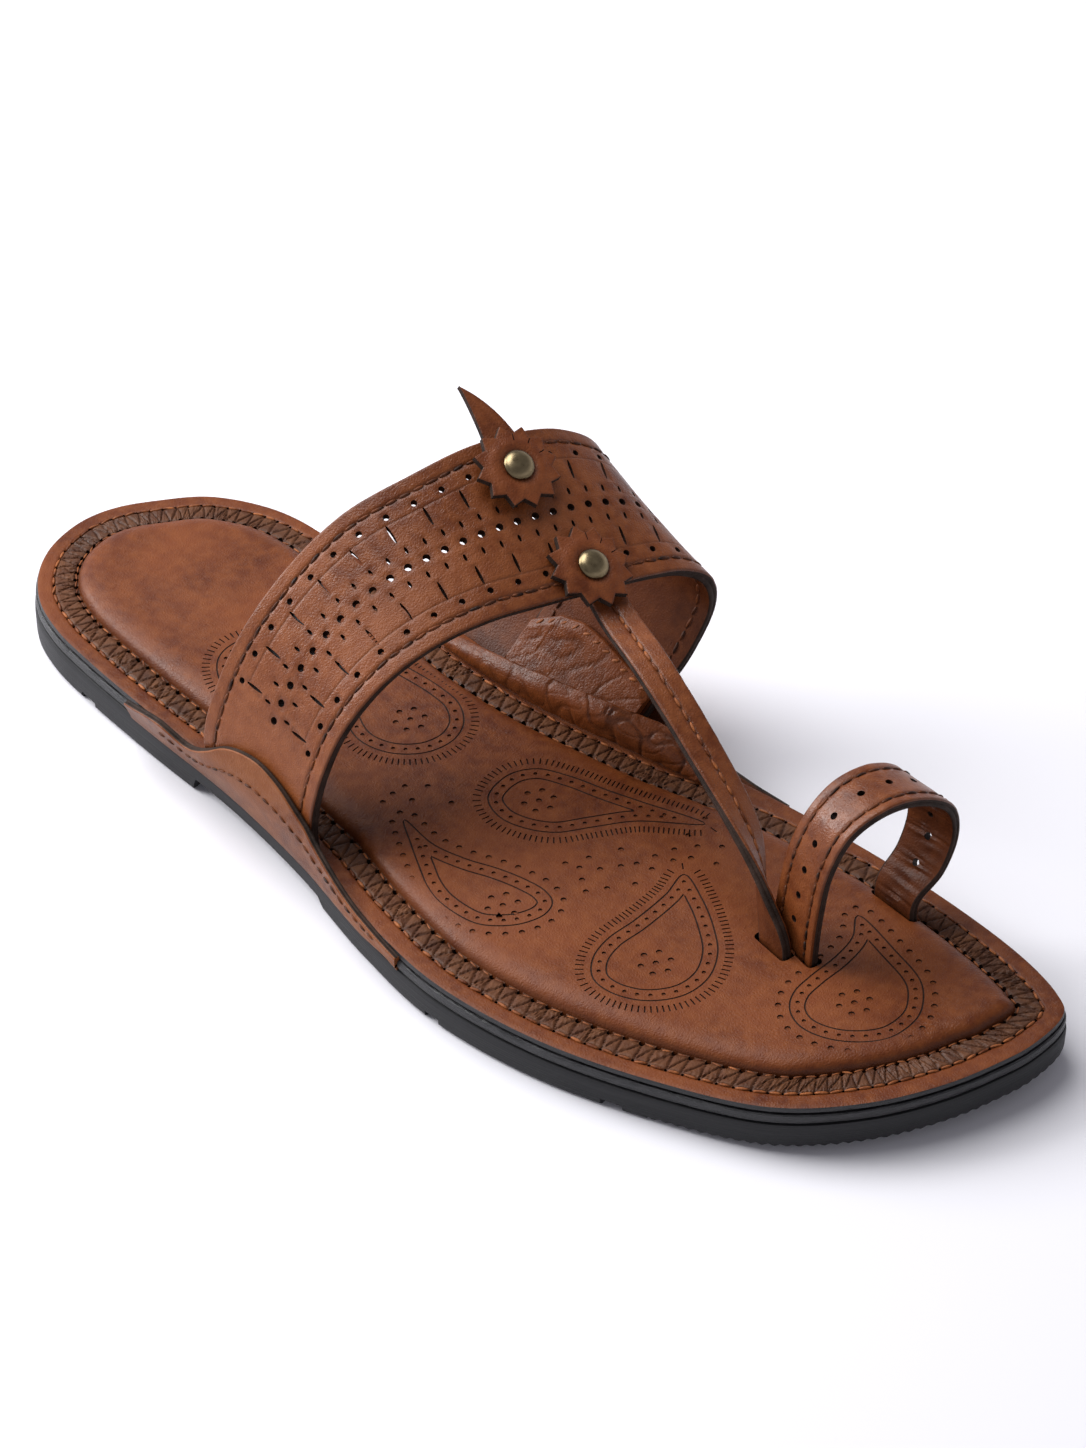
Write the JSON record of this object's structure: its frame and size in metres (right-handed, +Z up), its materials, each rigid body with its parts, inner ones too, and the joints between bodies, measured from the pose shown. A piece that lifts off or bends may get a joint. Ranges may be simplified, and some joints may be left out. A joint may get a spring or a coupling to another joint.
{
  "type": "kolhapuri sandal",
  "caption": "Open leather sandal for the right foot with a punched instep band, a toe strap, a toe ring, star rosettes and a rubber sole.",
  "frame": {"origin": "middle of the footprint, on the floor under the sole", "axes": "+X from the heel to the toe, +Y to the inner side of the foot, +Z up"},
  "size_m": [0.2886, 0.119, 0.0901],
  "materials": {
    "rubber_black": "matt moulded rubber",
    "board_black": "black edge paint, satin",
    "leather_footbed": "tan leather, soft sheen",
    "leather_ear": "tan leather, soft sheen",
    "leather_strap": "tan leather, soft sheen",
    "brass_antique": "antique brass, polished dome"
  },
  "bodies": {
    "root": {"outsole": "rubber_black", "midsole": "board_black", "footbed": "leather_footbed", "ear_lateral": "leather_ear", "ear_medial": "leather_ear", "upper": "leather_strap", "toe_ring": "leather_strap", "rosette_rear": "leather_strap", "rosette_front": "leather_strap", "leaf_tab": "leather_strap", "rivet_rear": "brass_antique", "rivet_front": "brass_antique"}
  },
  "joints": []
}
